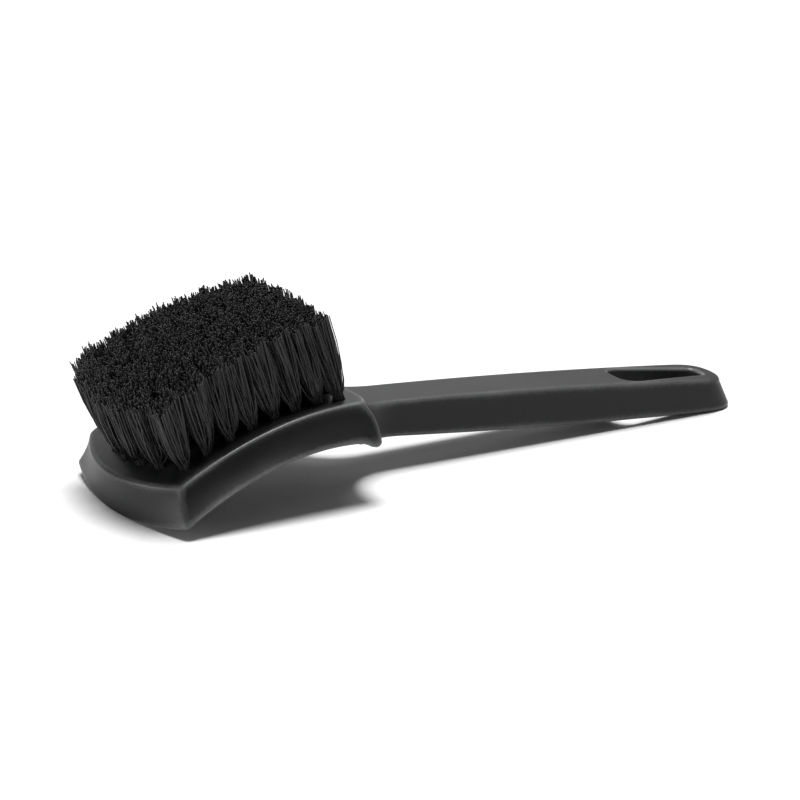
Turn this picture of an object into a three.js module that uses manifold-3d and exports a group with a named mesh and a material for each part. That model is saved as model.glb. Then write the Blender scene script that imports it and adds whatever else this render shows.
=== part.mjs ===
// A short-handled wheel brush: one moulded plastic body, head and handle together, and a field of
// bristle tufts, each a separate bundle set in its own blind hole in the head.
//
// The body is drawn in the mould's frame: x runs from the nose to the end of the handle, y across,
// z towards the bristles, and z = 0 is the flat back of the handle. The last section tips the whole
// brush so that it lies on the nose and the heel, bristles up, and puts the origin at the centre of
// the bottom of its box. Millimetres throughout.

import * as THREE from "three";
import { mergeVertices } from "three/addons/utils/BufferGeometryUtils.js";
import Module from "manifold-3d";

const { lerp, smoothstep, degToRad } = THREE.MathUtils;

// ---- Driving dimensions ----

const LENGTH = 270;

// The outline has one shape where the walls meet the face (the bristle side) and a larger one
// where they meet the back. Corners are [x, half width] before they are rounded.
const FACE = {
  nose: -2.8,
  corner: [7.6, 35.9],
  shoulder: [81.4, 35.6],
  neck: [94, 11.2],
  end: LENGTH - 8.2,
  endHalf: 12,
};
const BACK = {
  nose: 0.3,
  corner: [7.4, 43.1],
  shoulder: [87.7, 40.9],
  neck: [92, 11.6],
  end: LENGTH - 2.8,
  endHalf: 12,
};
const FLARE_POWER = 1.5; // the side walls curve outwards towards the back
const SHOULDER_POWER = 2.6; // the shoulders bulge towards the handle
const CORNER_ROUNDING = 1.8;
const SHOULDER_ROUNDING = 2.4;
const NECK_FILLET = 18;
const END_ROUNDING = 13;

// Heights along the side edges of the head, as [shoulder, middle control, corner].
const FACE_PROFILE = [21.5, 19.4, -5.9];
const BACK_PROFILE = [6.7, 10.5, -20.2];
const NOSE_CROWN = 3.6; // the face stands this much higher in the middle of the nose
const NECK_SLOPE_END = 101; // where the head's face has come down to the handle's top
const BACK_SLOPE_END = 98;
const HANDLE_TOP = [12.6, 15.6, 12.6]; // neck, middle control, end
const HANDLE_BACK = [-0.6, -3, 0.2];
const NECK_SAG = { drop: 1.1, end: 114 }; // the back drops more where the handle leaves the head
const DISH = 2; // hollow in the middle of the head's back, near the nose
const BACK_CROWN_START = 10; // half width of the flat strip that runs on from the handle
const BACK_RIM = 38; // half width where the raised rim begins
const LIP = { x: 84.8, height: 1.7, spread: 3.5 }; // nub on the back edge of each shoulder

const HEAD_EDGE = 1.1; // edge radii
const HANDLE_EDGE = 1.9;

const HANG_HOLE = { start: 215, end: 254.5, wide: 17, narrow: 9.2, cornerWide: 6.5, cornerNarrow: 3.4 };

const TUFT = {
  rows: [-3, -2, -1, 0, 1, 2, 3],
  perRow: [8, 8, 9, 9, 9, 8, 8],
  pitchY: 9.3,
  neckX: 74.7, // first tuft of every row
  noseX: [12.8, 8, 5.2, 4.3], // last tuft, by distance of the row from the middle
  radius: 2.1,
  tipRadius: 4.1,
  depth: 9,
  gap: 0.3,
  sides: 6,
};
const LEAN = [23, 25]; // degrees towards the nose, at the neck and at the nose
const FAN = [-3, 6]; // degrees outwards in the outer rows, at the neck and at the nose
const TRIM = { x: 65, z: 52.6, slope: 0.14, bow: 0.004, sideBow: 0.0015 }; // trimmed top of the bristles

const FLOOR_FLAT = 0.5; // worn off the nose and the heel where the brush lies

const STATIONS = [8, 4, 10, 5, 2, 6, 10, 7]; // divisions of each stretch of the outline
const EDGE_STEPS = 3;
const WALL_STEPS = 3;
const CROSS_STEPS = 6;

// ---- Small helpers ----

const wasm = await Module();
wasm.setup();

function solidOf(geometry) {
  const bare = geometry.index ? geometry.toNonIndexed() : geometry.clone();
  const shape = new THREE.BufferGeometry().setAttribute("position", bare.getAttribute("position"));
  const merged = mergeVertices(shape, 1e-4);
  const index = merged.index.array;
  const kept = [];
  for (let i = 0; i < index.length; i += 3) {
    const [a, b, c] = index.slice(i, i + 3);
    if (a !== b && b !== c && c !== a) kept.push(a, b, c);
  }
  return new wasm.Manifold(
    new wasm.Mesh({
      numProp: 3,
      vertProperties: merged.attributes.position.array,
      triVerts: new Uint32Array(kept),
    }),
  );
}

function geometryOf(solid) {
  const mesh = solid.getMesh();
  const geometry = new THREE.BufferGeometry();
  geometry.setAttribute("position", new THREE.BufferAttribute(mesh.vertProperties, 3));
  geometry.setIndex(new THREE.BufferAttribute(mesh.triVerts, 1));
  geometry.computeVertexNormals();
  return geometry;
}

const bezier = ([a, b, c], t) => (1 - t) ** 2 * a + 2 * t * (1 - t) * b + t * t * c;

// ---- Heights of the face and of the back ----

function sideProfile(profile, shoulderX, cornerX, x) {
  return bezier(profile, (shoulderX - x) / (shoulderX - cornerX));
}

function handleProfile(profile, x) {
  return bezier(profile, Math.max(0, (x - FACE.neck[0]) / (LENGTH - FACE.neck[0])));
}

function faceHeight(x, y) {
  const [shoulderX] = FACE.shoulder;
  const [cornerX, cornerY] = FACE.corner;
  const head = sideProfile(FACE_PROFILE, shoulderX, cornerX, Math.min(x, shoulderX));
  const towardsNose = smoothstep(shoulderX - x, 0, shoulderX - cornerX);
  const crown = NOSE_CROWN * towardsNose * Math.max(0, 1 - (y / cornerY) ** 2);
  return lerp(head + crown, handleProfile(HANDLE_TOP, x), smoothstep(x, shoulderX, NECK_SLOPE_END));
}

function backHeight(x, y) {
  const [shoulderX] = BACK.shoulder;
  const [cornerX] = BACK.corner;
  const edge = sideProfile(BACK_PROFILE, shoulderX, cornerX, Math.min(x, shoulderX));
  const towardsNose = smoothstep(shoulderX - x, 0, shoulderX - cornerX);
  const sag = NECK_SAG.drop * (1 - smoothstep(x, BACK.neck[0], NECK_SAG.end));
  const strip = handleProfile(HANDLE_BACK, x) - sag;
  const middle = lerp(strip, edge + DISH * smoothstep(x, BACK.nose, 2 * cornerX), towardsNose ** 0.6);
  const rim = lerp(middle, edge, smoothstep(Math.abs(y), BACK_CROWN_START, BACK_RIM));
  const nub = LIP.height * Math.exp(-(((x - LIP.x) / LIP.spread) ** 2));
  const onRim = smoothstep(Math.abs(y), BACK_RIM - 8, BACK_RIM);
  return lerp(rim, strip, smoothstep(x, shoulderX, BACK_SLOPE_END)) - nub * onRim;
}

// ---- Outline of the body, from the tip of the nose round to the end of the handle ----

// The outline part of the way down the wall: 0 at the face, 1 at the back.
function outlineShape(down) {
  const out = down ** FLARE_POWER;
  const towardsHandle = 1 - (1 - down) ** SHOULDER_POWER;
  const between = (key, forward) => [
    lerp(FACE[key][0], BACK[key][0], forward),
    lerp(FACE[key][1], BACK[key][1], out),
  ];
  return {
    nose: lerp(FACE.nose, BACK.nose, down),
    corner: between("corner", down),
    shoulder: between("shoulder", towardsHandle),
    neck: between("neck", towardsHandle),
    end: lerp(FACE.end, BACK.end, down),
    endHalf: lerp(FACE.endHalf, BACK.endHalf, down),
  };
}

const along = (from, to, distance) => {
  const step = to.clone().sub(from).setLength(distance);
  return from.clone().add(step);
};

function outline(down) {
  const shape = outlineShape(down);
  const corner = new THREE.Vector2(...shape.corner);
  const shoulder = new THREE.Vector2(...shape.shoulder);
  const neck = new THREE.Vector2(...shape.neck);
  const end = new THREE.Vector2(shape.end, shape.endHalf);

  const rise = corner.x - shape.nose;
  const radius = (corner.y ** 2 + rise ** 2) / (2 * rise);
  const centre = shape.nose + radius;
  const sweep = Math.asin(corner.y / radius) - CORNER_ROUNDING / radius;

  const path = new THREE.Path();
  path.moveTo(shape.nose, 0);
  path.absarc(centre, 0, radius, Math.PI, Math.PI - sweep, true);
  const round = (at, next, size) => {
    const after = along(at, next, size);
    path.quadraticCurveTo(at.x, at.y, after.x, after.y);
  };
  const straight = (from, to, short) => {
    const stop = along(to, from, short);
    path.lineTo(stop.x, stop.y);
  };
  round(corner, shoulder, CORNER_ROUNDING);
  straight(corner, shoulder, SHOULDER_ROUNDING);
  round(shoulder, neck, SHOULDER_ROUNDING);
  straight(shoulder, neck, NECK_FILLET);
  round(neck, end, NECK_FILLET);
  straight(neck, end, END_ROUNDING);
  path.quadraticCurveTo(end.x, end.y, end.x, 0);

  const curves = path.curves.filter((curve) => curve.getLength() > 1e-6);
  const points = curves.flatMap((curve, i) => curve.getPoints(STATIONS[i]).slice(i ? 1 : 0));
  return points.map((point, i) => {
    const before = points[i - 1] ?? new THREE.Vector2(points[1].x, -points[1].y);
    const after = points[i + 1] ?? new THREE.Vector2(points.at(-2).x, -points.at(-2).y);
    const tangent = after.clone().sub(before).normalize();
    return { point, outwards: new THREE.Vector2(-tangent.y, tangent.x) };
  });
}

function edgeRadius(x) {
  return lerp(HEAD_EDGE, HANDLE_EDGE, smoothstep(x, FACE.shoulder[0], NECK_SLOPE_END));
}

// ---- The body's skin: one ring of points across the body at each station of the outline ----

function wallColumns() {
  const face = outline(0);
  const back = outline(1);
  const walls = Array.from({ length: WALL_STEPS - 1 }, (_, i) => outline((i + 1) / WALL_STEPS));
  return face.map((top, i) => {
    const bottom = back[i];
    const rTop = edgeRadius(top.point.x);
    const rBottom = edgeRadius(bottom.point.x);
    const turn = (step) => (step / EDGE_STEPS) * (Math.PI / 2);
    const column = [];
    for (let step = 0; step <= EDGE_STEPS; step++) {
      const inset = rTop * (1 - Math.sin(turn(step)));
      const p = top.point.clone().addScaledVector(top.outwards, -inset);
      const z = faceHeight(p.x, p.y) - rTop * (1 - Math.cos(turn(step)));
      column.push(new THREE.Vector3(p.x, p.y, z));
    }
    const bottomEdge = [];
    for (let step = EDGE_STEPS; step >= 0; step--) {
      const inset = rBottom * (1 - Math.sin(turn(step)));
      const p = bottom.point.clone().addScaledVector(bottom.outwards, -inset);
      const z = backHeight(p.x, p.y) + rBottom * (1 - Math.cos(turn(step)));
      bottomEdge.push(new THREE.Vector3(p.x, p.y, z));
    }
    const high = column.at(-1).z;
    const low = bottomEdge[0].z;
    walls.forEach((wall, k) => {
      const p = wall[i].point;
      column.push(new THREE.Vector3(p.x, p.y, lerp(high, low, (k + 1) / WALL_STEPS)));
    });
    column.push(...bottomEdge);
    const onCentreLine = i === 0 || i === face.length - 1;
    if (onCentreLine) column.forEach((p) => p.setY(0));
    return column;
  });
}

function across(edge, height, direction) {
  const points = [];
  for (let step = 1; step < CROSS_STEPS; step++) {
    const y = direction * edge.y * (1 - (2 * step) / CROSS_STEPS);
    points.push(new THREE.Vector3(edge.x, y, height(edge.x, y)));
  }
  return points;
}

function bodySkin() {
  const mirrored = (p) => new THREE.Vector3(p.x, -p.y, p.z);
  const rings = wallColumns().map((column) => [
    ...column,
    ...across(column.at(-1), backHeight, 1),
    ...column.map(mirrored).reverse(),
    ...across(column[0], faceHeight, -1),
  ]);
  const count = rings[0].length;
  const positions = rings.flat().flatMap((p) => [p.x, p.y, p.z]);
  const index = [];
  for (let i = 0; i + 1 < rings.length; i++)
    for (let k = 0; k < count; k++) {
      const a = i * count + k;
      const b = i * count + ((k + 1) % count);
      index.push(a, a + count, b, b, a + count, b + count);
    }
  const geometry = new THREE.BufferGeometry();
  geometry.setAttribute("position", new THREE.Float32BufferAttribute(positions, 3));
  geometry.setIndex(index);
  return geometry;
}

// ---- Hang hole: a tapered slot through the handle, square-cornered at the neck side ----

function hangHole() {
  const { start, end, wide, narrow, cornerWide, cornerNarrow } = HANG_HOLE;
  const w = wide / 2;
  const n = narrow / 2;
  const slot = new THREE.Shape();
  slot.moveTo(start, 0);
  slot.lineTo(start, w - cornerWide);
  slot.quadraticCurveTo(start, w, start + cornerWide, w);
  slot.lineTo(end - cornerNarrow, n);
  slot.quadraticCurveTo(end, n, end, n - cornerNarrow);
  slot.lineTo(end, cornerNarrow - n);
  slot.quadraticCurveTo(end, -n, end - cornerNarrow, -n);
  slot.lineTo(start + cornerWide, -w);
  slot.quadraticCurveTo(start, -w, start, cornerWide - w);
  slot.closePath();
  const geometry = new THREE.ExtrudeGeometry(slot, { depth: 60, bevelEnabled: false, curveSegments: 5 });
  return geometry.translate(0, 0, -30);
}

// ---- Tufts ----

function tuftPlaces() {
  const last = TUFT.rows.at(-1);
  return TUFT.rows.flatMap((row, r) => {
    const count = TUFT.perRow[r];
    const noseX = TUFT.noseX[last - Math.abs(row)];
    return Array.from({ length: count }, (_, k) => {
      const fromNeck = k / (count - 1);
      const x = lerp(TUFT.neckX, noseX, fromNeck);
      const y = row * TUFT.pitchY;
      const lean = degToRad(lerp(...LEAN, fromNeck));
      const fan = degToRad((lerp(...FAN, fromNeck) * row) / last);
      const axis = new THREE.Vector3(-Math.sin(lean), Math.sin(fan), Math.cos(lean)).normalize();
      return { name: `tuft_${r + 1}_${k + 1}`, root: new THREE.Vector3(x, y, faceHeight(x, y)), axis };
    });
  });
}

function trimHeight(x, y) {
  const run = TRIM.x - x;
  return TRIM.z - TRIM.slope * run - TRIM.bow * run * run - TRIM.sideBow * y * y;
}

function tuftLength({ root, axis }) {
  let length = 30;
  for (let pass = 0; pass < 8; pass++) {
    const tip = root.clone().addScaledVector(axis, length);
    length += (trimHeight(tip.x, tip.y) - tip.z) / axis.z;
  }
  return length;
}

// A solid of revolution about the tuft's own z axis.
function turned(profile, sides) {
  const points = profile.map(([r, z]) => new THREE.Vector2(r, z));
  return new THREE.LatheGeometry(points, sides).rotateX(Math.PI / 2);
}

function placed(object, place) {
  object.position.copy(place.root);
  object.quaternion.setFromUnitVectors(new THREE.Vector3(0, 0, 1), place.axis);
  return object;
}

// ---- Body: the skin less the hang hole, the tuft holes and what the floor wears off ----

const tilt = Math.atan2(-backHeight(BACK.nose, 0), LENGTH - BACK.nose);
const places = tuftPlaces();

function movedSolid(geometry, object) {
  object.updateMatrix();
  return solidOf(geometry.clone().applyMatrix4(object.matrix));
}

function bodyGeometry() {
  let solid = solidOf(bodySkin());
  solid = solid.subtract(solidOf(hangHole()));
  const drill = turned(
    [[0, -TUFT.depth], [TUFT.radius + TUFT.gap, -TUFT.depth], [TUFT.radius + TUFT.gap, 8], [0, 8]],
    TUFT.sides,
  );
  for (const place of places)
    solid = solid.subtract(movedSolid(drill, placed(new THREE.Object3D(), place)));

  const tipped = geometryOf(solid).rotateY(tilt);
  tipped.computeBoundingBox();
  const floor = new THREE.Object3D();
  floor.rotation.y = -tilt;
  const size = 2 * LENGTH;
  const top = tipped.boundingBox.min.z + FLOOR_FLAT;
  const slab = new THREE.BoxGeometry(size, size, size).translate(LENGTH / 2, 0, top - size / 2);
  return geometryOf(solid.subtract(movedSolid(slab, floor)));
}

// ---- The brush ----

const plastic = new THREE.MeshStandardMaterial({ name: "plastic", color: 0x222324, roughness: 0.42, metalness: 0 });
const bristle = new THREE.MeshStandardMaterial({ name: "bristle", color: 0x0c0c0d, roughness: 0.5, metalness: 0 });

function bodyMesh() {
  const mesh = new THREE.Mesh(bodyGeometry(), plastic);
  mesh.name = "handle_body";
  return mesh;
}

function tuftMesh(place) {
  const length = tuftLength(place);
  const foot = TUFT.gap - TUFT.depth;
  const geometry = turned(
    [[0, foot], [TUFT.radius, foot], [TUFT.radius, 0], [TUFT.tipRadius, length], [0, length]],
    TUFT.sides,
  );
  const mesh = new THREE.Mesh(geometry, bristle);
  mesh.name = place.name;
  return placed(mesh, place);
}

const brush = new THREE.Group();
brush.add(bodyMesh(), ...places.map(tuftMesh));
brush.rotation.y = tilt;

const part = new THREE.Group();
part.add(brush);
const box = new THREE.Box3().setFromObject(part, true);
brush.position.set(-(box.min.x + box.max.x) / 2, -(box.min.y + box.max.y) / 2, -box.min.z);

export default part;
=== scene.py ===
"""A wheel brush: one moulded body, a field of bristle tufts and the wire anchors that hold them.

The brush is worked out in its mould's frame, in millimetres: x from the nose to the end of the
handle, y across, z towards the bristles. TO_FLOOR then tips it so that it lies on its nose and
heel, bristles up, in metres.
"""

import math
import random

import bmesh
import bpy
from mathutils import Matrix, Quaternion, Vector


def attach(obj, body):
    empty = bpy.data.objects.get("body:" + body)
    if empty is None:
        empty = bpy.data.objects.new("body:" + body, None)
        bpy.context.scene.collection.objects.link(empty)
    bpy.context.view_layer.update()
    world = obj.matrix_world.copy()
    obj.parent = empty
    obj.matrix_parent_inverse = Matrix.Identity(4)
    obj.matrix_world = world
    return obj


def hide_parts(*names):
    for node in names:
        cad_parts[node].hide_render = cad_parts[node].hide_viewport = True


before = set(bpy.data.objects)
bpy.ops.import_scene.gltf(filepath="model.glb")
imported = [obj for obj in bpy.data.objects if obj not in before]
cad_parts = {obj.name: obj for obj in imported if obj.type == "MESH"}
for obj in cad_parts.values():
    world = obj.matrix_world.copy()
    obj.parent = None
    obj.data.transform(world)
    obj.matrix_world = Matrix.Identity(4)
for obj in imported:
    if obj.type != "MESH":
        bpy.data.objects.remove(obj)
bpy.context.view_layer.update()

# ---- Driving dimensions, in millimetres and degrees ----

MM = 0.001
LENGTH = 270.0
TILT = 5.4852
REST_PLACE = (-128.5662, 0.0, 24.8265)

FACE = {
    "nose": -2.8,
    "corner": (7.6, 35.9),
    "shoulder": (81.4, 35.6),
    "neck": (94.0, 11.2),
    "end": LENGTH - 8.2,
    "end_half": 12.0,
}
BACK = {
    "nose": 0.3,
    "corner": (7.4, 43.1),
    "shoulder": (87.7, 40.9),
    "neck": (92.0, 11.6),
    "end": LENGTH - 2.8,
    "end_half": 12.0,
}
FLARE_POWER = 1.5
SHOULDER_POWER = 2.6
CORNER_ROUNDING = 1.8
SHOULDER_ROUNDING = 2.4
NECK_FILLET = 18.0
END_ROUNDING = 13.0

FACE_PROFILE = (21.5, 19.4, -5.9)
BACK_PROFILE = (6.7, 10.5, -20.2)
NOSE_CROWN = 3.6
NECK_SLOPE_END = 101.0
BACK_SLOPE_END = 98.0
HANDLE_TOP = (12.6, 15.6, 12.6)
HANDLE_BACK = (-0.6, -3.0, 0.2)
NECK_SAG = 1.1  # the back drops this much more where the handle leaves the head
NECK_SAG_END = 114.0
DISH = 2.0
BACK_CROWN_START = 10.0
BACK_RIM = 38.0
RIM_WIDTH = 8.0
LIP_X = 84.8
LIP_HEIGHT = 1.7
LIP_SPREAD = 3.5

HEAD_EDGE = 1.1
HANDLE_EDGE = 1.9
EDGE_GAIN = 1.2  # an edge of this radius or sharper gets the full painted highlight
EDGE_SOFTENING = 3  # times that the painted edge highlight is averaged over its neighbours
FLOOR_FLAT = 0.02  # height above the floor at which the nose and the heel are cut flat

HOLE_START = 215.0
HOLE_END = 254.5
HOLE_WIDE = 8.5  # half widths
HOLE_NARROW = 4.6
HOLE_CORNER_WIDE = 6.5
HOLE_CORNER_NARROW = 3.4
HOLE_EDGE = 1.3  # radius of the rims
PUNCH_FLARE = 0.4  # how far the punch spreads past the rims
PUNCH_REACH = 1.5  # how far it stands out of the body at each end

ROWS = (-3, -2, -1, 0, 1, 2, 3)
TUFTS_PER_ROW = (8, 8, 9, 9, 9, 8, 8)
ROW_PITCH = 9.3
TUFT_NECK_X = 74.7
TUFT_NOSE_X = (12.8, 8.0, 5.2, 4.3)  # by distance of the row from the middle
TUFT_RADIUS = 2.1
TUFT_DEPTH = 9.0
HOLE_GAP = 0.3
MOUTH_RISE = 1.8  # the uphill rim of a leaning hole stands this far above its middle
LEAN = (23.0, 25.0)  # towards the nose, at the neck and at the nose
FAN = (-3.0, 6.0)  # outwards in the outer rows
TRIM_X = 65.0
TRIM_Z = 52.6
TRIM_SLOPE = 0.14
TRIM_BOW = 0.004
TRIM_SIDE_BOW = 0.0015

STRANDS = 150
STRAND_RADIUS = 0.24
STRAND_STEPS = 6
BOW = 0.6  # typical sideways bend of a strand
CRIMP = 0.16  # and of each stretch of it
TWIST = 0.5  # how far a tip turns round the tuft, in radians
CLUMP = 0.5  # how far a whole tuft leans aside
SCATTER = 0.42  # and each tip
UNEVENNESS = 0.45  # of the trimmed lengths
SHORT_SHARE = 0.1  # share of the strands that are cut short
SHORT_BY = 0.8
SPREAD_X = 4.7  # half size of the patch that one tuft's tips fill
SPREAD_Y = 5.1

WIRE_RADIUS = 0.35
WIRE_LEG = 3.0
WIRE_WIDTH = 3.0

# How finely each stretch of the outline, the edges, the walls and the broad faces are divided.
STATIONS = (26, 8, 40, 12, 8, 18, 64, 22)
EDGE_STEPS = 6
WALL_STEPS = 12
CROSS_STEPS = 40

TO_FLOOR = (
    Matrix.Scale(MM, 4)
    @ Matrix.Translation(REST_PLACE)
    @ Matrix.Rotation(math.radians(TILT), 4, "Y")
)


# ---- Small helpers ----


def lerp(a, b, t):
    return a + (b - a) * t


def smoothstep(value, low, high):
    t = min(1.0, max(0.0, (value - low) / (high - low)))
    return t * t * (3 - 2 * t)


def bezier(points, t):
    a, b, c = points
    return a * (1 - t) ** 2 + b * 2 * t * (1 - t) + c * t * t


def select_only(piece):
    if bpy.context.object and bpy.context.object.mode != "OBJECT":
        bpy.ops.object.mode_set(mode="OBJECT")
    bpy.ops.object.select_all(action="DESELECT")
    piece.select_set(True)
    bpy.context.view_layer.objects.active = piece


def apply_modifier(piece, kind, **settings):
    select_only(piece)
    modifier = piece.modifiers.new(kind.title(), kind)
    for key, value in settings.items():
        setattr(modifier, key, value)
    bpy.ops.object.modifier_apply(modifier=modifier.name)


def cut(piece, cutter):
    apply_modifier(piece, "BOOLEAN", operation="DIFFERENCE", solver="EXACT", object=cutter)
    bpy.data.objects.remove(cutter)


def tidy_mesh(piece, distance):
    select_only(piece)
    bpy.ops.object.mode_set(mode="EDIT")
    bpy.ops.mesh.select_all(action="SELECT")
    bpy.ops.mesh.remove_doubles(threshold=distance)
    bpy.ops.mesh.dissolve_degenerate(threshold=distance / 10)
    bpy.ops.mesh.select_all(action="SELECT")
    bpy.ops.mesh.normals_make_consistent(inside=False)
    bpy.ops.object.mode_set(mode="OBJECT")


def hand_in(piece, name, nodes=()):
    piece.name = name
    piece.data.name = name
    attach(piece, "root")
    if nodes:
        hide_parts(*nodes)


# ---- Heights of the face and of the back ----


def side_profile(profile, shoulder_x, corner_x, x):
    return bezier(profile, (shoulder_x - x) / (shoulder_x - corner_x))


def handle_profile(profile, x):
    return bezier(profile, max(0.0, (x - FACE["neck"][0]) / (LENGTH - FACE["neck"][0])))


def face_height(x, y):
    shoulder_x = FACE["shoulder"][0]
    corner_x, corner_y = FACE["corner"]
    head = side_profile(FACE_PROFILE, shoulder_x, corner_x, min(x, shoulder_x))
    towards_nose = smoothstep(shoulder_x - x, 0, shoulder_x - corner_x)
    crown = NOSE_CROWN * towards_nose * max(0.0, 1 - (y / corner_y) ** 2)
    down = smoothstep(x, shoulder_x, NECK_SLOPE_END)
    return lerp(head + crown, handle_profile(HANDLE_TOP, x), down)


def back_height(x, y):
    shoulder_x = BACK["shoulder"][0]
    corner_x = BACK["corner"][0]
    edge = side_profile(BACK_PROFILE, shoulder_x, corner_x, min(x, shoulder_x))
    towards_nose = smoothstep(shoulder_x - x, 0, shoulder_x - corner_x)
    sag = NECK_SAG * (1 - smoothstep(x, BACK["neck"][0], NECK_SAG_END))
    strip = handle_profile(HANDLE_BACK, x) - sag
    dished = edge + DISH * smoothstep(x, BACK["nose"], 2 * corner_x)
    middle = lerp(strip, dished, towards_nose**0.6)
    rim = lerp(middle, edge, smoothstep(abs(y), BACK_CROWN_START, BACK_RIM))
    nub = LIP_HEIGHT * math.exp(-(((x - LIP_X) / LIP_SPREAD) ** 2))
    on_rim = smoothstep(abs(y), BACK_RIM - RIM_WIDTH, BACK_RIM)
    return lerp(rim, strip, smoothstep(x, shoulder_x, BACK_SLOPE_END)) - nub * on_rim


# ---- Outline of the body, from the tip of the nose round to the end of the handle ----


def outline_corners(down):
    """Down is 0 where the wall meets the face and 1 where it meets the back."""
    out = down**FLARE_POWER
    towards_handle = 1 - (1 - down) ** SHOULDER_POWER

    def between(key, forward):
        x = lerp(FACE[key][0], BACK[key][0], forward)
        return Vector((x, lerp(FACE[key][1], BACK[key][1], out)))

    nose = lerp(FACE["nose"], BACK["nose"], down)
    end = Vector((lerp(FACE["end"], BACK["end"], down), lerp(FACE["end_half"], BACK["end_half"], down)))
    corners = [between("corner", down), between("shoulder", towards_handle), between("neck", towards_handle)]
    return nose, *corners, end


def outline(down):
    nose, corner, shoulder, neck, end = outline_corners(down)
    rise = corner.x - nose
    radius = (corner.y**2 + rise**2) / (2 * rise)
    sweep = math.asin(corner.y / radius) - CORNER_ROUNDING / radius
    nose_arc = [
        Vector((nose + radius * (1 - math.cos(a)), radius * math.sin(a)))
        for a in (sweep * i / STATIONS[0] for i in range(STATIONS[0] + 1))
    ]

    def towards(a, b, distance):
        return a + (b - a).normalized() * distance

    def bend(start, at, stop, steps):
        return [bezier((start, at, stop), i / steps) for i in range(1, steps + 1)]

    def straight(start, stop, steps):
        return [start.lerp(stop, i / steps) for i in range(1, steps + 1)]

    points = nose_arc
    points += bend(points[-1], corner, towards(corner, shoulder, CORNER_ROUNDING), STATIONS[1])
    points += straight(points[-1], towards(shoulder, corner, SHOULDER_ROUNDING), STATIONS[2])
    points += bend(points[-1], shoulder, towards(shoulder, neck, SHOULDER_ROUNDING), STATIONS[3])
    points += straight(points[-1], towards(neck, shoulder, NECK_FILLET), STATIONS[4])
    points += bend(points[-1], neck, towards(neck, end, NECK_FILLET), STATIONS[5])
    points += straight(points[-1], towards(end, neck, END_ROUNDING), STATIONS[6])
    points += bend(points[-1], end, Vector((end.x, 0)), STATIONS[7])

    ends = [Vector((points[1].x, -points[1].y))] + points + [Vector((points[-2].x, -points[-2].y))]
    outwards = []
    for before, after in zip(ends, ends[2:]):
        along = (after - before).normalized()
        outwards.append(Vector((-along.y, along.x)))
    return points, outwards


def edge_radius(x):
    return lerp(HEAD_EDGE, HANDLE_EDGE, smoothstep(x, FACE["shoulder"][0], NECK_SLOPE_END))


def rounded_edge(point, outwards, height, direction):
    """From the broad face over the edge to the wall. Direction is -1 at the face, 1 at the back."""
    radius = edge_radius(point.x)
    column = []
    for step in range(EDGE_STEPS + 1):
        turn = step / EDGE_STEPS * math.pi / 2
        p = point - outwards * radius * (1 - math.sin(turn))
        z = height(p.x, p.y) + direction * radius * (1 - math.cos(turn))
        column.append(Vector((p.x, p.y, z)))
    return column


def across(edge, height, side):
    steps = [side * edge.y * (1 - 2 * i / CROSS_STEPS) for i in range(1, CROSS_STEPS)]
    return [Vector((edge.x, y, height(edge.x, y))) for y in steps]


def body_rings():
    """One closed ring of points round the body at each station of the outline."""
    levels = [outline(step / WALL_STEPS) for step in range(WALL_STEPS + 1)]
    count = len(levels[0][0])
    rings = []
    for i in range(count):
        top = rounded_edge(levels[0][0][i], levels[0][1][i], face_height, -1)
        bottom = rounded_edge(levels[-1][0][i], levels[-1][1][i], back_height, 1)
        wall = []
        for step in range(1, WALL_STEPS):
            p = levels[step][0][i]
            wall.append(Vector((p.x, p.y, lerp(top[-1].z, bottom[-1].z, step / WALL_STEPS))))
        column = top + wall + bottom[::-1]
        if i in (0, count - 1):
            column = [Vector((p.x, 0, p.z)) for p in column]
        mirrored = [Vector((p.x, -p.y, p.z)) for p in reversed(column)]
        under = across(column[-1], back_height, 1)
        over = across(column[0], face_height, -1)
        rings.append(column + under + mirrored + over)
    return rings


# ---- The moulded body ----


def wrapped_grid():
    """A flat grid whose rows become stations along the body and whose columns go round it."""
    rings = body_rings()
    stations = len(rings) - 1
    round_it = len(rings[0])
    bpy.ops.object.select_all(action="DESELECT")
    bpy.ops.mesh.primitive_grid_add(x_subdivisions=stations, y_subdivisions=round_it, size=2)
    body = bpy.context.object
    for vertex in body.data.vertices:
        station = round((vertex.co.x + 1) / 2 * stations)
        place = round((vertex.co.y + 1) / 2 * round_it) % round_it
        vertex.co = TO_FLOOR @ rings[station][place]
    tidy_mesh(body, 1e-5)
    return body


def slot_outline(grow):
    """The hang hole's outline in plan, grown outwards: square-cornered at the neck side."""
    start = HOLE_START - grow
    end = HOLE_END + grow
    wide = HOLE_WIDE + grow
    narrow = HOLE_NARROW + grow
    near = HOLE_CORNER_WIDE + grow
    far = HOLE_CORNER_NARROW + grow
    steps = 8
    wide_corner = [Vector((start, wide - near)), Vector((start, wide)), Vector((start + near, wide))]
    far_corner = [Vector((end - far, narrow)), Vector((end, narrow)), Vector((end, narrow - far))]
    side = [bezier(wide_corner, i / steps) for i in range(steps + 1)]
    side += [side[-1].lerp(far_corner[0], i / (3 * steps)) for i in range(1, 3 * steps)]
    side += [bezier(far_corner, i / steps) for i in range(steps + 1)]
    return side + [Vector((p.x, -p.y)) for p in reversed(side)]


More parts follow.
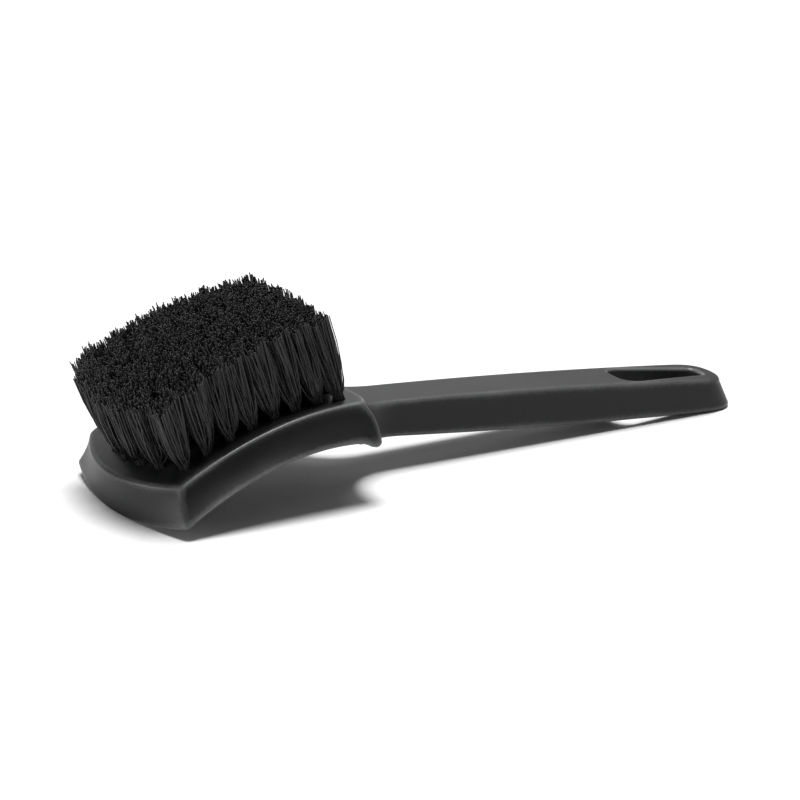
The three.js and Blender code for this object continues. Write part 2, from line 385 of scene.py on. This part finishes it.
def hang_hole_cutter():
    """A slot-shaped punch that widens at both ends, so that it leaves rounded rims."""
    rim_steps = 7
    levels = []
    for step in range(rim_steps + 1):
        turn = step / rim_steps * math.pi / 2
        levels.append((HOLE_EDGE * (1 - math.sin(turn)), HOLE_EDGE * (1 - math.cos(turn))))
    rings = []
    for height, direction in ((face_height, -1), (back_height, 1)):
        side = []
        for grow, depth in levels:
            ring = slot_outline(grow)
            side.append([Vector((p.x, p.y, height(p.x, 0) + direction * depth)) for p in ring])
        flat = slot_outline(HOLE_EDGE + PUNCH_FLARE)
        side.insert(0, [Vector((p.x, p.y, height(p.x, 0) - direction * PUNCH_REACH)) for p in flat])
        rings.append(side)
    stack = rings[0] + rings[1][::-1]

    bpy.ops.object.select_all(action="DESELECT")
    bpy.ops.mesh.primitive_cylinder_add(vertices=len(stack[0]), end_fill_type="NGON")
    punch = bpy.context.object
    bpy.ops.object.mode_set(mode="EDIT")
    shape = bmesh.from_edit_mesh(punch.data)
    for level in range(1, len(stack) - 1):
        height = 1 - 2 * level / (len(stack) - 1)
        everything = shape.verts[:] + shape.edges[:] + shape.faces[:]
        bmesh.ops.bisect_plane(shape, geom=everything, plane_co=(0, 0, height), plane_no=(0, 0, 1))
    for vertex in shape.verts:
        level = round((1 - vertex.co.z) / 2 * (len(stack) - 1))
        angle = math.atan2(vertex.co.x, vertex.co.y) % (2 * math.pi)
        around = round(angle / (2 * math.pi) * len(stack[0])) % len(stack[0])
        vertex.co = TO_FLOOR @ stack[level][around]
    bmesh.ops.recalc_face_normals(shape, faces=shape.faces[:])
    bmesh.update_edit_mesh(punch.data)
    bpy.ops.object.mode_set(mode="OBJECT")
    return punch


def tuft_places():
    places = []
    last = ROWS[-1]
    for r, row in enumerate(ROWS):
        count = TUFTS_PER_ROW[r]
        for k in range(count):
            from_neck = k / (count - 1)
            x = lerp(TUFT_NECK_X, TUFT_NOSE_X[last - abs(row)], from_neck)
            y = row * ROW_PITCH
            lean = math.radians(lerp(*LEAN, from_neck))
            fan = math.radians(lerp(*FAN, from_neck) * row / last)
            axis = Vector((-math.sin(lean), math.sin(fan), math.cos(lean))).normalized()
            places.append((f"{r + 1}_{k + 1}", Vector((x, y, face_height(x, y))), axis))
    return places


def tuft_drills(places):
    """One round cutter for each blind hole, joined into one object."""
    drills = []
    above = 8.0
    for _, root, axis in places:
        bpy.ops.object.select_all(action="DESELECT")
        bpy.ops.mesh.primitive_cylinder_add(
            vertices=16, radius=TUFT_RADIUS + HOLE_GAP, depth=TUFT_DEPTH + above
        )
        drill = bpy.context.object
        turn = Vector((0, 0, 1)).rotation_difference(axis).to_matrix().to_4x4()
        middle = root + axis * (above - TUFT_DEPTH) / 2
        drill.data.transform(TO_FLOOR @ Matrix.Translation(middle) @ turn)
        drills.append(drill)
    for drill in drills:
        drill.select_set(True)
    bpy.context.view_layer.objects.active = drills[0]
    bpy.ops.object.join()
    return drills[0]


def lie_flat(piece):
    """Takes off the sliver of nose and heel that would reach under the floor."""
    select_only(piece)
    bpy.ops.object.mode_set(mode="EDIT")
    bpy.ops.mesh.select_all(action="SELECT")
    bpy.ops.mesh.bisect(
        plane_co=(0, 0, FLOOR_FLAT * MM),
        plane_no=(0, 0, 1),
        use_fill=True,
        clear_inner=True,
        threshold=1e-7,
    )
    bpy.ops.object.mode_set(mode="OBJECT")


def mark_edges(piece):
    """Stores how sharply the surface turns outwards at each vertex, softened over its neighbours: the mask
    of the painted edge highlight.
    """
    shape = bmesh.new()
    shape.from_mesh(piece.data)

    def bend(edge):
        width = sum(face.calc_area() for face in edge.link_faces) / 2 / max(edge.calc_length(), MM / 100)
        return edge.calc_face_angle_signed(0) / max(width, MM / 5)

    sharp = [min(1.0, max(0.0, EDGE_GAIN * MM * max(map(bend, v.link_edges)))) for v in shape.verts]
    near = [[e.other_vert(v).index for e in v.link_edges] for v in shape.verts]
    for _ in range(EDGE_SOFTENING):
        sharp = [(sharp[i] + sum(sharp[n] for n in near[i])) / (1 + len(near[i])) for i in range(len(near))]
    shape.free()
    # this mask lightens the plastic's colour along the edges: a painted highlight
    wear = piece.data.attributes.new("edge_wear", "FLOAT", "POINT")
    wear.data.foreach_set("value", sharp)


def make_body(places):
    body = wrapped_grid()
    cut(body, hang_hole_cutter())
    cut(body, tuft_drills(places))
    lie_flat(body)
    tidy_mesh(body, 1e-6)
    mark_edges(body)
    select_only(body)
    bpy.ops.object.shade_smooth_by_angle(angle=math.radians(32))
    return body


# ---- Bristles ----


def trim_height(x, y):
    run = TRIM_X - x
    return TRIM_Z - TRIM_SLOPE * run - TRIM_BOW * run * run - TRIM_SIDE_BOW * y * y


def trimmed_length(root, axis):
    length = 30.0
    for _ in range(8):
        tip = root + axis * length
        length += (trim_height(tip.x, tip.y) - tip.z) / axis.z
    return length


def one_strand():
    """A straight four-sided filament of unit height, the shape that every strand is bent from."""
    bpy.ops.object.select_all(action="DESELECT")
    bpy.ops.mesh.primitive_cylinder_add(vertices=4, radius=1, depth=1, location=(0, 0, 0.5))
    strand = bpy.context.object
    bpy.ops.object.transform_apply(location=True)
    bpy.ops.object.mode_set(mode="EDIT")
    for step in range(1, STRAND_STEPS):
        bpy.ops.mesh.select_all(action="SELECT")
        bpy.ops.mesh.bisect(plane_co=(0, 0, step / STRAND_STEPS), plane_no=(0, 0, 1))
    bpy.ops.object.mode_set(mode="OBJECT")
    points = [v.co.copy() for v in strand.data.vertices]
    faces = [tuple(p.vertices) for p in strand.data.polygons]
    bpy.data.objects.remove(strand)
    return points, faces


def strand_path(start, along, tip, rng):
    """A strand leaves its hole straight, flares out above the rim and runs on, a little bowed."""
    foot = start - along * (MOUTH_RISE + TUFT_DEPTH - 2)
    reach = tip - start
    aside = reach - along * reach.dot(along)
    bow = Vector((rng.gauss(0, BOW), rng.gauss(0, BOW), 0))
    knee = start + along * reach.length * rng.uniform(0.12, 0.26) + aside * rng.uniform(0.5, 0.9)
    path = [foot, start]
    for t in (0.14, 0.34, 0.55, 0.77):
        crimp = Vector((rng.gauss(0, CRIMP), rng.gauss(0, CRIMP), 0))
        path.append(bezier((start, knee, tip), t) + bow * 4 * t * (1 - t) + crimp)
    return path + [tip]


def make_tuft(name, root, axis, strand, rng):
    points, faces = strand
    length = trimmed_length(root, axis)
    turn = Vector((0, 0, 1)).rotation_difference(axis)
    side_x = turn @ Vector((1, 0, 0))
    side_y = turn @ Vector((0, 1, 0))
    golden = math.pi * (3 - math.sqrt(5))
    clump = Vector((rng.gauss(0, CLUMP), rng.gauss(0, CLUMP)))
    verts, polygons, shades, heights = [], [], [], []
    for i in range(STRANDS):
        share = math.sqrt((i + 0.5) / STRANDS)
        angle = i * golden
        cos, sin = math.cos(angle), math.sin(angle)
        aside = (side_x * cos + side_y * sin) * share * (TUFT_RADIUS - STRAND_RADIUS / 2)
        start = root + axis * MOUTH_RISE + aside
        angle += rng.gauss(0, TWIST)
        cos, sin = math.cos(angle), math.sin(angle)
        square = 1 / max(abs(cos), abs(sin)) ** 0.6
        x = cos * share * SPREAD_X * square + clump.x + rng.gauss(0, SCATTER)
        y = sin * share * SPREAD_Y * square + clump.y + rng.gauss(0, SCATTER)
        reach = length + rng.gauss(0, UNEVENNESS) - (SHORT_BY if rng.random() < SHORT_SHARE else 0)
        tip = root + axis * reach + side_x * x + side_y * y
        tip.z += (trim_height(tip.x, tip.y) - trim_height(*(root + axis * reach).xy)) * 0.9
        path = strand_path(start, axis, tip, rng)
        spin = rng.random() * math.pi
        shade = rng.random()
        first = len(verts)
        for point in points:
            at = round(point.z * STRAND_STEPS)
            ahead = (path[min(at + 1, STRAND_STEPS)] - path[max(at - 1, 0)]).normalized()
            u = ahead.cross(side_y).normalized()
            v = ahead.cross(u)
            c, s = math.cos(spin), math.sin(spin)
            local = Vector((point.x * c - point.y * s, point.x * s + point.y * c))
            verts.append(TO_FLOOR @ (path[at] + (u * local.x + v * local.y) * STRAND_RADIUS))
            shades.append(shade)
            # height along the strand, which the material uses to paint the upper strand lighter
            heights.append(max(0.0, (at - 1) / (STRAND_STEPS - 1)))
        polygons += [tuple(first + n for n in face) for face in faces]
    mesh = bpy.data.meshes.new(name)
    mesh.from_pydata(verts, [], polygons)
    mesh.attributes.new("shade", "FLOAT", "POINT").data.foreach_set("value", shades)
    mesh.attributes.new("height", "FLOAT", "POINT").data.foreach_set("value", heights)
    tuft = bpy.data.objects.new(name, mesh)
    bpy.context.collection.objects.link(tuft)
    select_only(tuft)
    bpy.ops.object.mode_set(mode="EDIT")
    bpy.ops.mesh.select_all(action="SELECT")
    bpy.ops.mesh.normals_make_consistent(inside=False)
    bpy.ops.object.mode_set(mode="OBJECT")
    bpy.ops.object.shade_smooth_by_angle(angle=math.radians(60))
    return tuft


# ---- Wire anchors ----


def one_anchor():
    """A short length of wire bent over into two legs, at the bottom of a tuft's hole."""
    bpy.ops.object.select_all(action="DESELECT")
    bpy.ops.mesh.primitive_circle_add(vertices=10, radius=WIRE_RADIUS, fill_type="NGON")
    anchor = bpy.context.object
    bpy.ops.object.mode_set(mode="EDIT")
    bpy.ops.mesh.select_all(action="SELECT")
    bpy.ops.mesh.extrude_region_move(TRANSFORM_OT_translate={"value": (0, 0, WIRE_LEG)})
    turn_steps = 8
    middle = Vector((WIRE_WIDTH / 2, 0, WIRE_LEG))
    for step in range(turn_steps):
        bpy.ops.mesh.extrude_region_move()
        bpy.ops.transform.rotate(
            value=-math.pi / turn_steps, orient_axis="Y", center_override=middle
        )
    bpy.ops.mesh.extrude_region_move(TRANSFORM_OT_translate={"value": (0, 0, -WIRE_LEG)})
    bpy.ops.mesh.select_all(action="SELECT")
    bpy.ops.mesh.normals_make_consistent(inside=False)
    bpy.ops.object.mode_set(mode="OBJECT")
    bpy.ops.object.shade_smooth_by_angle(angle=math.radians(40))
    return anchor


# ---- Materials ----


class Value:
    """A socket that takes part in arithmetic: each operator adds a Math node."""

    def __init__(self, finish, socket):
        self.finish = finish
        self.socket = socket

    def _math(self, operation, *values):
        return self.finish.node("ShaderNodeMath", {"operation": operation}, values)

    def __add__(self, other):
        return self._math("ADD", self, other)

    __radd__ = __add__

    def __mul__(self, other):
        return self._math("MULTIPLY", self, other)

    __rmul__ = __mul__

    def __sub__(self, other):
        return self._math("SUBTRACT", self, other)

    def __rsub__(self, other):
        return self._math("SUBTRACT", other, self)


class Finish:
    """A material under construction."""

    def __init__(self, name):
        self.material = bpy.data.materials.new(name)
        self.material.use_nodes = True
        self.nodes = self.material.node_tree.nodes
        self.links = self.material.node_tree.links
        self.shader = self.nodes["Principled BSDF"]

    def plug(self, socket, value):
        if isinstance(value, Value):
            self.links.new(value.socket, socket)
        else:
            socket.default_value = value

    def node(self, kind, settings=None, inputs=(), output=0):
        made = self.nodes.new(kind)
        for key, value in (settings or {}).items():
            if key == "stops":
                ramp = made.color_ramp.elements
                while len(ramp) < len(value):
                    ramp.new(0.5)
                for stop, (place, colour) in zip(ramp, value):
                    stop.position = place
                    stop.color = colour
            else:
                setattr(made, key, value)
        pairs = inputs.items() if isinstance(inputs, dict) else enumerate(inputs)
        for key, value in pairs:
            self.plug(made.inputs[key], value)
        return Value(self, made.outputs[output])

    def surface(self, **values):
        for key, value in values.items():
            self.plug(self.shader.inputs[key.replace("_", " ")], value)

    def noise(self, scale, detail=3.0, roughness=0.5):
        place = self.node("ShaderNodeTexCoord", output="Object")
        return self.node(
            "ShaderNodeTexNoise",
            inputs={"Vector": place, "Scale": scale, "Detail": detail, "Roughness": roughness},
        )

    def attribute(self, name):
        return self.node("ShaderNodeAttribute", {"attribute_name": name}, output="Fac")

    def grade(self, value, *stops):
        return self.node("ShaderNodeValToRGB", {"stops": stops}, {"Fac": value})

    def bump(self, height, strength, distance, under=None):
        inputs = {"Height": height, "Strength": strength, "Distance": distance}
        if under:
            inputs["Normal"] = under
        return self.node("ShaderNodeBump", inputs=inputs)


def grey(level, alpha=1.0):
    return (level, level, level, alpha)


def moulded_plastic():
    """Black polypropylene with a fine spark-eroded grain, polished a little along its edges, where a painted
    highlight lightens its colour.
    """
    finish = Finish("moulded_plastic")
    cloud = finish.noise(35.0)
    fleck = finish.noise(900.0, 2.0)
    grain = finish.noise(2600.0, 2.0, 0.6)
    ripple = finish.noise(60.0, 1.0)
    edge = finish.attribute("edge_wear")
    # cloud and fleck are the plastic's own tone; the edge term is a painted highlight
    tone_and_painted_light = cloud * 0.4 + fleck * 0.2 + edge * 0.65
    finish.surface(
        Base_Color=finish.grade(
            tone_and_painted_light,
            (0.2, (0.0038, 0.004, 0.0043, 1)),
            (0.42, (0.0072, 0.0074, 0.0078, 1)),
            # this light grey is reached only on the edges: the colour of the painted highlight
            (0.95, (0.105, 0.106, 0.108, 1)),
        ),
        Roughness=0.34 + cloud * 0.10 + fleck * 0.06 - edge * 0.12,
        Specular_IOR_Level=0.26,
        Normal=finish.bump(ripple, 0.12, 0.0006, finish.bump(grain, 0.16, 0.00012)),
    )
    return finish.material


def black_bristle():
    """Dyed nylon filament: each strand a little different, dusty, and lighter towards the tips, partly the
    grey of the cut ends and partly painted light from above.
    """
    finish = Finish("bristle")
    shade = finish.attribute("shade")
    height = finish.attribute("height")
    dust = finish.noise(260.0)
    streak = finish.noise(1500.0, 2.0)
    # lighter towards the tips: the grey of the cut ends plus painted light on the tops
    grey_tips_and_painted_top_light = height * height * height
    tone_and_painted_light = shade * shade * 0.6 + grey_tips_and_painted_top_light * 0.3 + dust * 0.18
    finish.surface(
        Base_Color=finish.grade(tone_and_painted_light, (0.1, grey(0.002)), (0.85, (0.038, 0.0375, 0.038, 1))),
        Roughness=0.3 + shade * 0.3 + streak * 0.08,
        Specular_IOR_Level=0.36,
        Normal=finish.bump(streak, 0.1, 0.00008),
    )
    return finish.material


def anchor_wire():
    """Galvanised wire with faint spangle and drawing marks."""
    finish = Finish("anchor_wire")
    spangle = finish.noise(700.0)
    drawn = finish.noise(3000.0, 2.0)
    finish.surface(
        Base_Color=finish.grade(spangle, (0.3, (0.42, 0.43, 0.44, 1)), (0.8, (0.62, 0.62, 0.6, 1))),
        Metallic=1.0,
        Roughness=0.3 + drawn * 0.2,
        Normal=finish.bump(drawn, 0.15, 0.00005),
    )
    return finish.material


def floor_paper():
    finish = Finish("floor_paper")
    tooth = finish.noise(400.0)
    finish.surface(
        Base_Color=finish.grade(tooth, (0.2, grey(0.6)), (0.8, grey(0.63))),
        Roughness=0.7,
        Specular_IOR_Level=0.2,
    )
    return finish.material


def wear(piece, material):
    piece.data.materials.clear()
    piece.data.materials.append(material)


# ---- The brush ----

places = tuft_places()
body = make_body(places)
wear(body, moulded_plastic())
hand_in(body, "moulded_body", ["handle_body"])

strand = one_strand()
bristle_finish = black_bristle()
rng = random.Random(7)
for name, root, axis in places:
    tuft = make_tuft(f"bristles_{name}", root, axis, strand, rng)
    wear(tuft, bristle_finish)
    hand_in(tuft, f"bristles_{name}", [f"tuft_{name}"])

wire_finish = anchor_wire()
pattern = one_anchor()
for name, root, axis in places:
    anchor = pattern.copy()
    anchor.data = pattern.data.copy()
    bpy.context.collection.objects.link(anchor)
    turn = Vector((0, 0, 1)).rotation_difference(axis).to_matrix().to_4x4()
    foot = root - axis * (TUFT_DEPTH - 0.6)
    seat = Matrix.Translation(foot) @ turn @ Matrix.Translation((-WIRE_WIDTH / 2, 0, 0))
    anchor.data.transform(TO_FLOOR @ seat)
    wear(anchor, wire_finish)
    hand_in(anchor, f"anchor_{name}")
bpy.data.objects.remove(pattern)

# ---- Floor, light and camera ----

bpy.ops.object.select_all(action="DESELECT")
bpy.ops.mesh.primitive_plane_add(size=12)
floor = bpy.context.object
floor.name = "floor"
wear(floor, floor_paper())


def soft_box(name, place, aim, size, power):
    light = bpy.data.lights.new(name, "AREA")
    light.shape = "RECTANGLE"
    light.size, light.size_y = size
    light.energy = power
    lamp = bpy.data.objects.new(name, light)
    lamp.location = place
    lamp.rotation_euler = (Vector(aim) - Vector(place)).to_track_quat("-Z", "Y").to_euler()
    bpy.context.collection.objects.link(lamp)


soft_box("behind", (0.3, 2.2, 0.9), (0, 0, 0.05), (3.0, 1.2), 14)
soft_box("left", (-1.45, 0.5, 0.22), (-0.1, 0, 0.02), (0.8, 0.4), 7)
soft_box("right", (0.85, 0.6, 1.4), (0, 0, 0), (0.7, 0.5), 3.5)
soft_box("front", (0.9, -1.3, 1.05), (0, 0, 0), (1.0, 0.8), 1.6)
soft_box("corner", (-1.6, -0.5, 0.2), (-0.12, -0.03, 0.02), (0.3, 0.25), 5)

ceiling = bpy.data.lights.new("ceiling", "SUN")
ceiling.energy = 5.4
ceiling.angle = math.radians(28)
ceiling_lamp = bpy.data.objects.new("ceiling", ceiling)
ceiling_lamp.rotation_euler = Vector((-0.05, -0.03, -1)).to_track_quat("-Z", "Y").to_euler()
bpy.context.collection.objects.link(ceiling_lamp)

room = bpy.data.worlds.new("room")
room.use_nodes = True
room.node_tree.nodes["Background"].inputs["Color"].default_value = grey(1.0)
room.node_tree.nodes["Background"].inputs["Strength"].default_value = 0.06
bpy.context.scene.world = room
bpy.context.scene.view_settings.view_transform = "Standard"

CAMERA_PLACE = Vector((-0.87005, -1.43589, 0.57762))
CAMERA_DIRECTION = Vector((0.4880, 0.8142, -0.3144))
CAMERA_ROLL = 0.75
lens = bpy.data.cameras.new("camera")
lens.lens = 211.26
lens.sensor_width = 36
lens.clip_start = 0.05
lens.clip_end = 50
camera = bpy.data.objects.new("camera", lens)
camera.location = CAMERA_PLACE
facing = CAMERA_DIRECTION.to_track_quat("-Z", "Y")
camera.rotation_euler = (facing @ Quaternion((0, 0, 1), math.radians(CAMERA_ROLL))).to_euler()
bpy.context.collection.objects.link(camera)
bpy.context.scene.camera = camera
